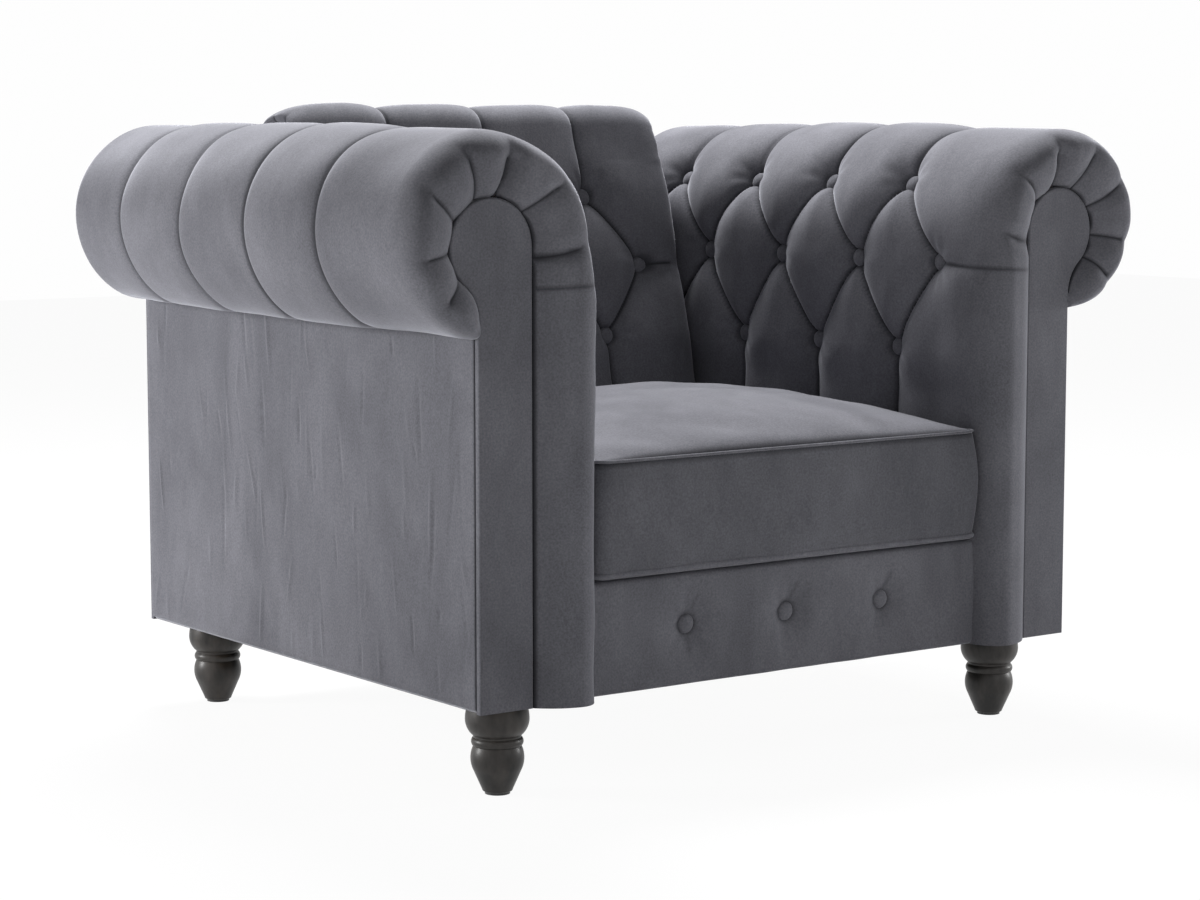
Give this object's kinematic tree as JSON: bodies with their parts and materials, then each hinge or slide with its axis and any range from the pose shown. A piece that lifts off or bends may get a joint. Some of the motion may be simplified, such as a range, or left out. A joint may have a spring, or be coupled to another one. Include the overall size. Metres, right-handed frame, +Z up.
{
  "type": "rolled-arm armchair",
  "caption": "Grey velvet club chair with rolled, deep-buttoned arms and back, a loose box cushion and turned dark feet.",
  "frame": {"origin": "on the floor, under the middle of the bounding box", "axes": "+X to the right as seen from the front, +Y to the rear, +Z up"},
  "size_m": [1.1414, 0.8318, 0.8128],
  "materials": {
    "velvet": "matte",
    "dark_wood": "satin",
    "frame_wood": "matte",
    "paper_tube": "matte",
    "foam": "matte",
    "deck_cloth": "matte",
    "dust_cloth": "matte",
    "zinc_steel": "satin",
    "glide_plastic": "matte"
  },
  "bodies": {
    "chair": {"back_board": "frame_wood", "back_buttons": "velvet", "back_left_facing": "velvet", "back_left_post": "frame_wood", "back_outside_panel": "velvet", "back_pad": "velvet", "back_rails": "frame_wood", "back_right_facing": "velvet", "back_right_post": "frame_wood", "back_roll_tube": "paper_tube", "dust_cover": "dust_cloth", "foot_glides": "glide_plastic", "foot_hanger_bolts": "zinc_steel", "foot_plates": "zinc_steel", "frame_bolts": "zinc_steel", "frame_nut_plates": "zinc_steel", "frame_washers": "zinc_steel", "front_left_foot": "dark_wood", "front_rail_buttons": "velvet", "front_rail_cover": "velvet", "front_right_foot": "dark_wood", "left_arm_buttons": "velvet", "left_arm_front_facing": "velvet", "left_arm_front_post": "frame_wood", "left_arm_inner_board": "frame_wood", "left_arm_outside_panel": "velvet", "left_arm_pad": "velvet", "left_arm_rails": "frame_wood", "left_arm_rear_facing": "velvet", "left_arm_rear_post": "frame_wood", "left_arm_roll_tube": "paper_tube", "rear_left_foot": "dark_wood", "rear_right_foot": "dark_wood", "right_arm_buttons": "velvet", "right_arm_front_facing": "velvet", "right_arm_front_post": "frame_wood", "right_arm_inner_board": "frame_wood", "right_arm_outside_panel": "velvet", "right_arm_pad": "velvet", "right_arm_rails": "frame_wood", "right_arm_rear_facing": "velvet", "right_arm_rear_post": "frame_wood", "right_arm_roll_tube": "paper_tube", "seat_corner_blocks": "frame_wood", "seat_deck": "deck_cloth", "seat_front_rail": "frame_wood", "seat_rear_rail": "frame_wood", "seat_side_rails": "frame_wood", "seat_spring_clips": "zinc_steel", "seat_springs": "zinc_steel"},
    "seat_cushion": {"cushion_cover": "velvet", "cushion_core": "foam"}
  },
  "joints": [
    {"name": "seat_cushion_lift", "type": "slide", "parent": "chair", "child": "seat_cushion", "axis": [0, 0, 1], "range_m": [0, 0.45]}
  ]
}
